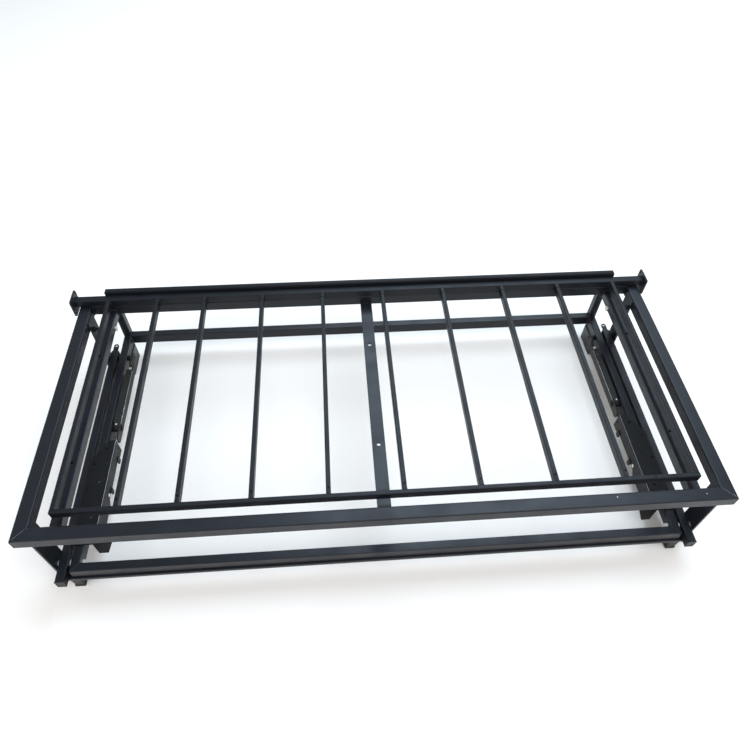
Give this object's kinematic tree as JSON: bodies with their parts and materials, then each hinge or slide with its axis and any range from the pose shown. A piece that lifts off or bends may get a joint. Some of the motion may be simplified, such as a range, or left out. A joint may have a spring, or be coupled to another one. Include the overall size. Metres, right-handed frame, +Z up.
{
  "type": "sofa bed mechanism",
  "caption": "Open steel sofa bed frame: a slatted deck sliding over a tubular carriage on feet, with side skids, perforated brackets and hinged lift levers.",
  "frame": {"origin": "on the floor, in the middle of the footprint", "axes": "+X to the right seen from the front, +Y to the rear (towards the end plates), +Z up"},
  "size_m": [1.528, 0.727, 0.2663],
  "materials": {
    "frame_paint": "satin anthracite powder coat",
    "deck_paint": "satin anthracite powder coat",
    "bracket_paint": "fine-textured charcoal coating",
    "lever_paint": "dull grey coating with bright edges",
    "zinc_steel": "bright zinc plating",
    "bare_plate": "thin grey coating over cut steel plate",
    "foot_plastic": "moulded black"
  },
  "bodies": {
    "carriage": {"bolts": "zinc_steel", "centre_strut": "frame_paint", "foot_bar": "frame_paint", "front_feet": "foot_plastic", "left_front_plate": "frame_paint", "left_lever_pivot": "zinc_steel", "left_lift_bracket": "bracket_paint", "left_lower_side_tube": "frame_paint", "left_outer_tube": "frame_paint", "left_rear_hanger": "frame_paint", "left_rear_leg": "frame_paint", "left_rear_post": "frame_paint", "left_skid": "frame_paint", "left_upper_side_tube": "frame_paint", "lower_front_rail": "frame_paint", "lower_rear_rail": "frame_paint", "outer_front_tube": "frame_paint", "outer_rear_tube": "frame_paint", "right_front_plate": "frame_paint", "right_lever_pivot": "zinc_steel", "right_lift_bracket": "bracket_paint", "right_lower_side_tube": "frame_paint", "right_outer_tube": "frame_paint", "right_rear_hanger": "frame_paint", "right_rear_leg": "frame_paint", "right_rear_post": "frame_paint", "right_skid": "frame_paint", "right_upper_side_tube": "frame_paint"},
    "slat_deck": {"deck_front_rail": "deck_paint", "deck_rear_rail": "deck_paint", "left_deck_rail": "deck_paint", "left_end_plate": "bare_plate", "rear_stop_bar": "deck_paint", "right_deck_rail": "deck_paint", "right_end_plate": "bare_plate", "slat_1": "deck_paint", "slat_2": "deck_paint", "slat_3": "deck_paint", "slat_4": "deck_paint", "slat_5": "deck_paint", "slat_6": "deck_paint", "slat_7": "deck_paint", "slat_8": "deck_paint"},
    "left_lever": {"left_lift_lever": "lever_paint"},
    "right_lever": {"right_lift_lever": "lever_paint"}
  },
  "joints": [
    {"name": "deck_slide", "type": "slide", "parent": "carriage", "child": "slat_deck", "axis": [0, 1, 0], "range_m": [0, 0.55]},
    {"name": "left_lever_hinge", "type": "hinge", "parent": "carriage", "child": "left_lever", "pos_m": [-0.646, 0.0385, 0.066], "axis": [1, 0, 0], "range_deg": [0, 35]},
    {"name": "right_lever_hinge", "type": "hinge", "parent": "carriage", "child": "right_lever", "pos_m": [0.646, 0.0385, 0.066], "axis": [1, 0, 0], "range_deg": [0, 35]}
  ]
}
